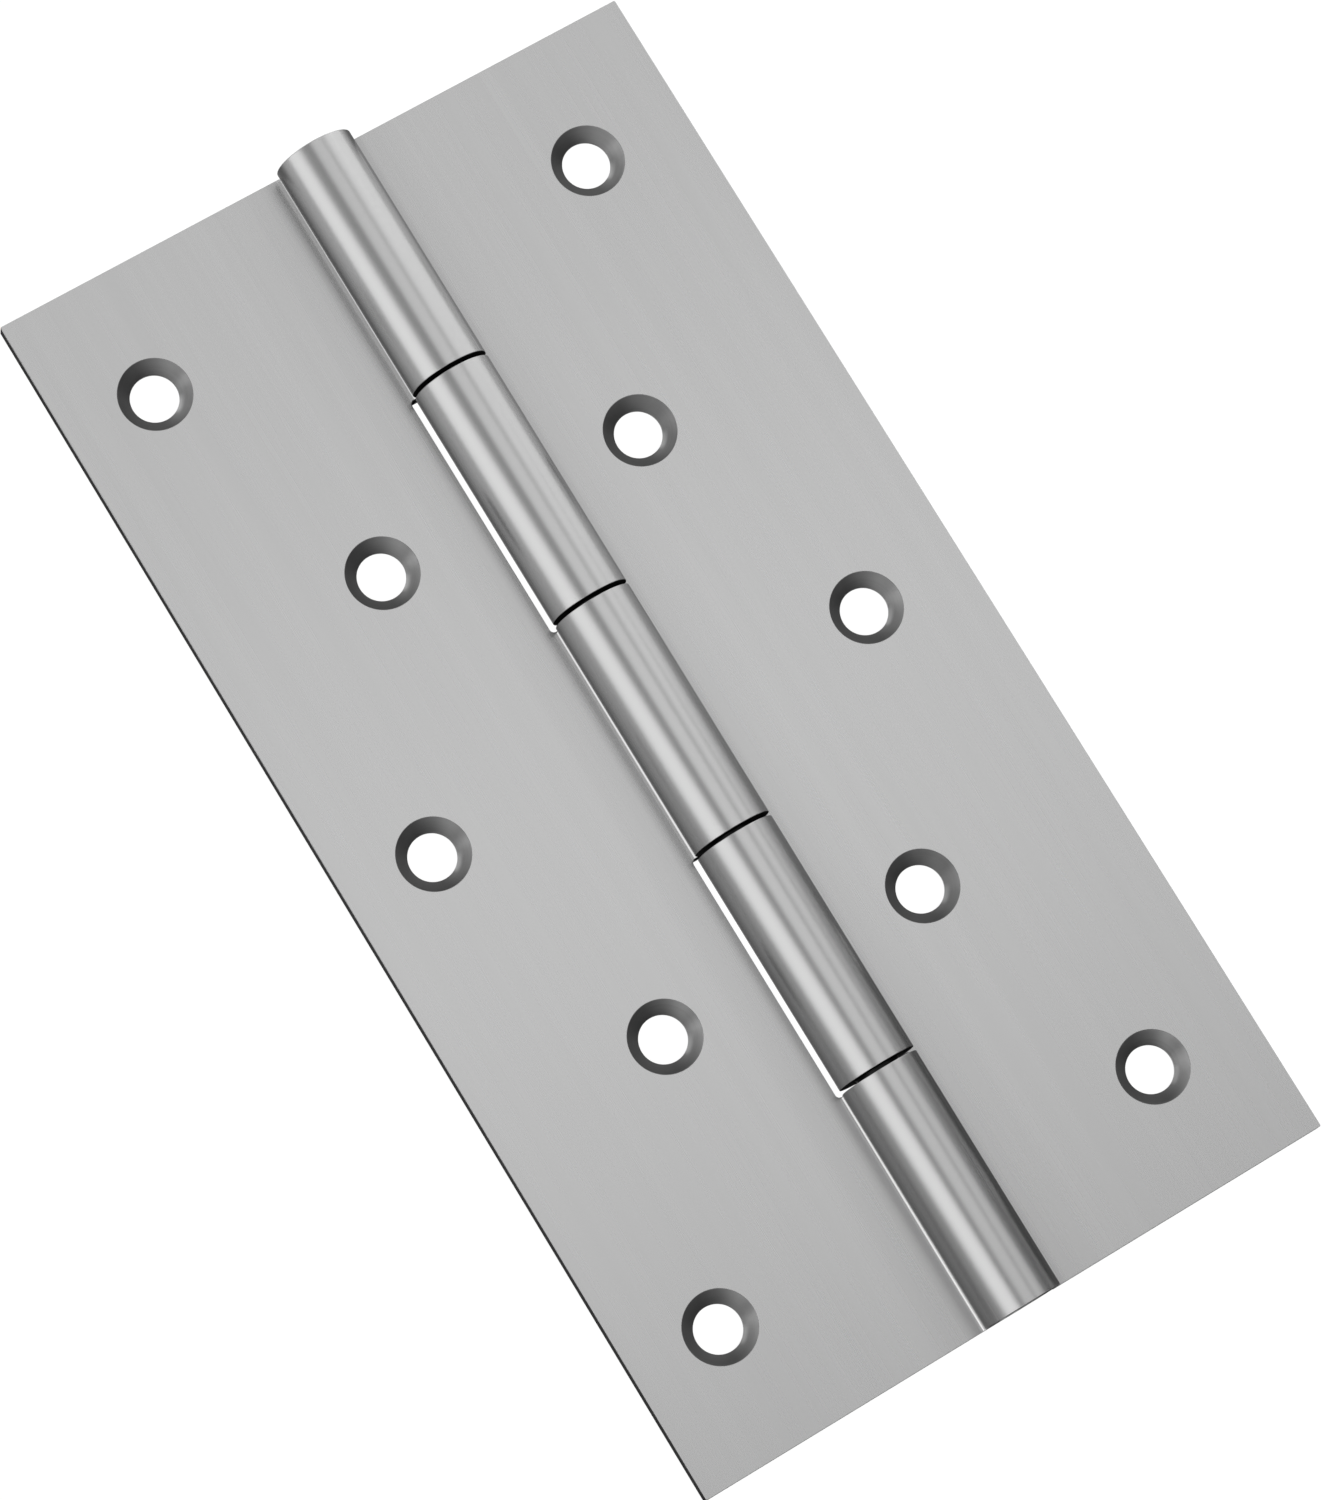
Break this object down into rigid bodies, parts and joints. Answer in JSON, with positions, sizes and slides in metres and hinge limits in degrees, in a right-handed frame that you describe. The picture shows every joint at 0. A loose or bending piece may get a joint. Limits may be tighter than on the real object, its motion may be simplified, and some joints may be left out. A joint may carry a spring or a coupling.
{
  "type": "door hinge",
  "caption": "Butt hinge of satin steel sheet, lying open flat, with staggered countersunk screw holes and a barrel of rolled knuckles on a flush pin.",
  "frame": {"origin": "under the middle of the pin, on the plane that the backs of both leaves rest on", "axes": "+Y along the pin, +Z out of the countersunk front, +X towards the door leaf's free edge; the hinge lies open flat"},
  "size_m": [0.08, 0.15, 0.0094],
  "materials": {
    "satin_steel": "satin, brushed along the hinge's length",
    "pin_steel": "plain drawn rod"
  },
  "bodies": {
    "frame_leaf": {"frame_leaf": "satin_steel", "hinge_pin": "pin_steel"},
    "door_leaf": {"door_leaf": "satin_steel"}
  },
  "joints": [
    {"name": "door_leaf_swing", "type": "hinge", "parent": "frame_leaf", "child": "door_leaf", "pos_m": [0, 0, 0.0047], "axis": [0, -1, 0], "range_deg": [-90, 180]}
  ]
}
